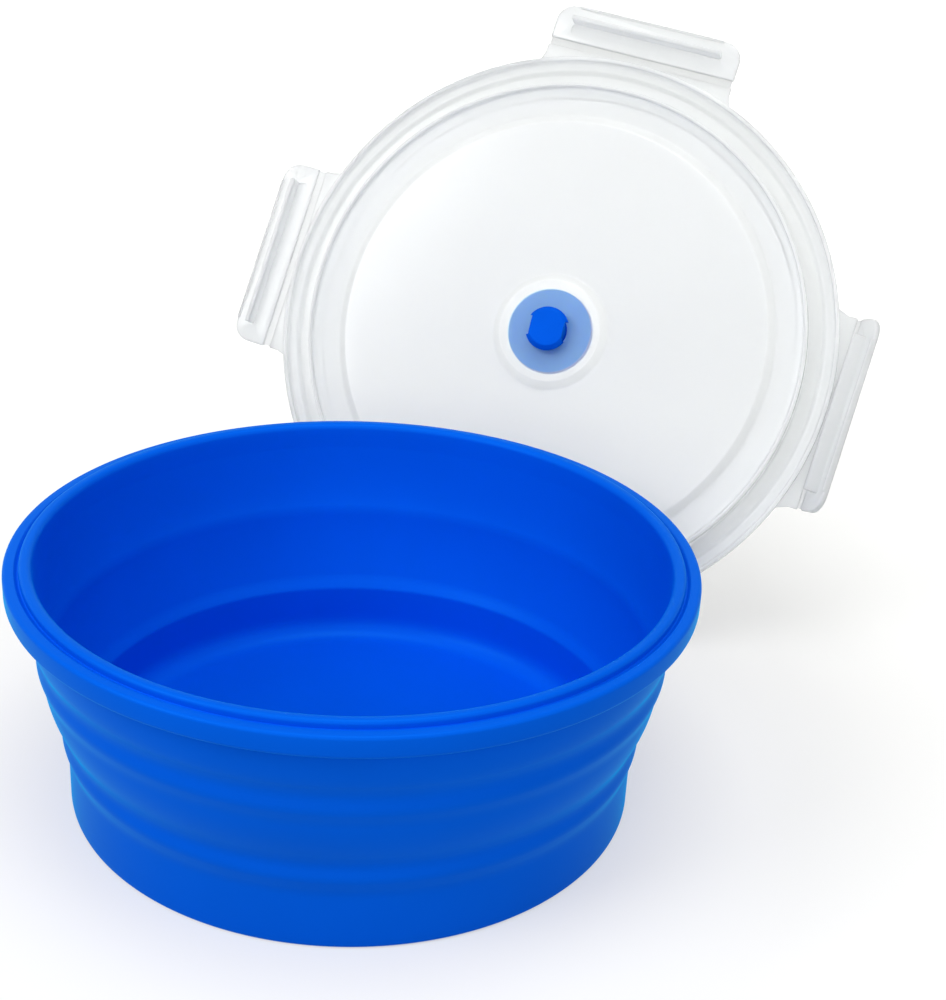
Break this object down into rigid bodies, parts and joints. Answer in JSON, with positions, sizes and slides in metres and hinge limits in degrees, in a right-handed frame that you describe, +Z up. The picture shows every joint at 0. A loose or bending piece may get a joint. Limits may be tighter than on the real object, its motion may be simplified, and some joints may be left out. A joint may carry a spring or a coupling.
{
  "type": "collapsible bowl",
  "caption": "Collapsible silicone bowl that folds flat, with a clip-down clear lid stood up behind it; the lid has hinged clips and a vent plug.",
  "frame": {"origin": "centre of the bowl's flat foot, on the surface it stands on", "axes": "+Z up along the bowl's axis, +Y towards the lid that stands behind the bowl, +X to the right as seen from the front"},
  "size_m": [0.2475, 0.2801, 0.1874],
  "materials": {
    "blue_silicone": "satin",
    "clear_polypropylene": "semi-gloss",
    "plug_silicone": "satin"
  },
  "bodies": {
    "base": {"base_cup": "blue_silicone", "fold_band": "blue_silicone"},
    "rim": {"upper_wall": "blue_silicone", "rim_collar": "blue_silicone"},
    "lid": {"lid_shell": "clear_polypropylene", "top_hinge": "clear_polypropylene", "right_hinge": "clear_polypropylene", "foot_hinge": "clear_polypropylene", "left_hinge": "clear_polypropylene"},
    "top_flap": {"top_clip": "clear_polypropylene"},
    "right_flap": {"right_clip": "clear_polypropylene"},
    "foot_flap": {"foot_clip": "clear_polypropylene"},
    "left_flap": {"left_clip": "clear_polypropylene"},
    "plug": {"vent_plug": "plug_silicone"}
  },
  "joints": [
    {"name": "fold_down", "type": "slide", "parent": "base", "child": "rim", "axis": [0, 0, 1], "range_m": [-0.036, 0], "deforming": ["fold_band"]},
    {"name": "lid_lift", "type": "slide", "parent": "base", "child": "lid", "axis": [0.1215, 0.4535, 0.8829], "range_m": [0, 0.15]},
    {"name": "top_clip_fold", "type": "hinge", "parent": "lid", "child": "top_flap", "pos_m": [0.07811, 0.17281, 0.17174], "axis": [0.9396, -0.3194, -0.1229], "range_deg": [-90, 90], "deforming": ["top_hinge"]},
    {"name": "right_clip_fold", "type": "hinge", "parent": "lid", "child": "right_flap", "pos_m": [0.14365, 0.10271, 0.0763], "axis": [-0.2548, -0.413, -0.8744], "range_deg": [-150, 30], "deforming": ["right_hinge"]},
    {"name": "foot_clip_fold", "type": "hinge", "parent": "lid", "child": "foot_flap", "pos_m": [0.02935, 0.09375, 0.00439], "axis": [-0.9396, 0.3194, 0.1229], "range_deg": [-180, 0], "deforming": ["foot_hinge"]},
    {"name": "left_clip_fold", "type": "hinge", "parent": "lid", "child": "left_flap", "pos_m": [-0.03619, 0.16385, 0.09982], "axis": [0.2548, 0.413, 0.8744], "range_deg": [-90, 90], "deforming": ["left_hinge"]},
    {"name": "vent_pull", "type": "slide", "parent": "lid", "child": "plug", "axis": [0.2285, 0.8529, -0.4695], "range_m": [0, 0.0029]}
  ]
}
